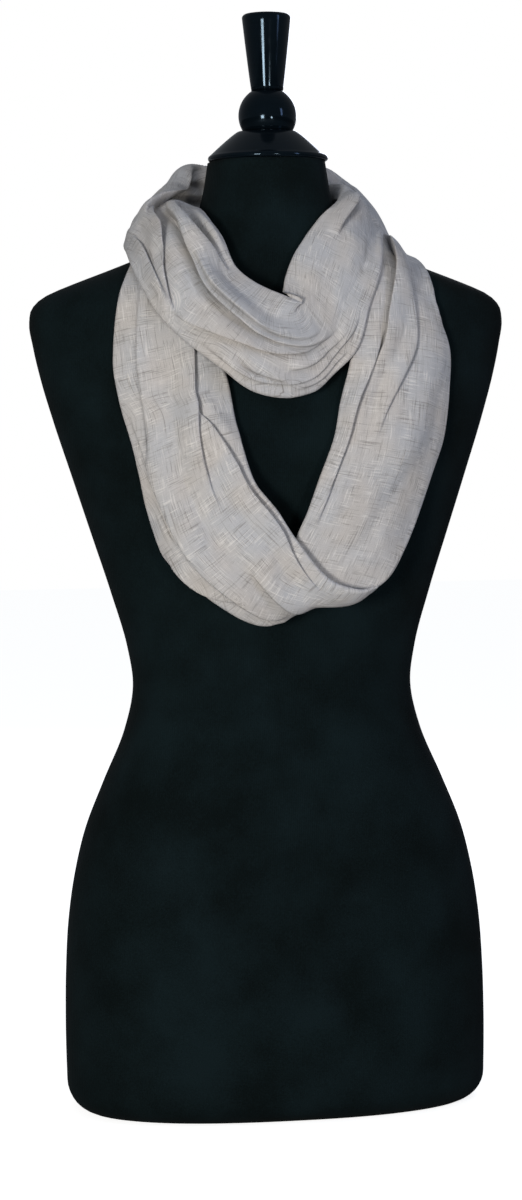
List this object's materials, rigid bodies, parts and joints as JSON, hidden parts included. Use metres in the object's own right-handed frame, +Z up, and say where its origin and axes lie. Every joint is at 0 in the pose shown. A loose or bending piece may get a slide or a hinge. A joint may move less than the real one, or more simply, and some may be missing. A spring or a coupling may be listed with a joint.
{
  "type": "infinity scarf on limbless dress form",
  "caption": "Looped cloth scarf wound twice round the neck of a limbless dress form with a turned neck cap.",
  "frame": {"origin": "on the flat underside, midway between the sides of the form and 15 mm behind the axis of its neck cap", "axes": "+Z up, the form faces -Y, the wearer's right is -X"},
  "size_m": [0.412, 0.2682, 0.945],
  "materials": {
    "cloth": "light, slubby plain weave, matt",
    "jersey": "fine black jersey, matt",
    "lacquer": "black gloss lacquer on turned wood"
  },
  "bodies": {
    "root": {"scarf_drop_right": "cloth", "scarf_nape_inner": "cloth", "scarf_cowl": "cloth", "scarf_nape_outer": "cloth", "scarf_drop_left": "cloth", "dress_form": "jersey", "cap_disc": "lacquer", "cap_ball": "lacquer", "cap_finial": "lacquer"}
  },
  "joints": []
}
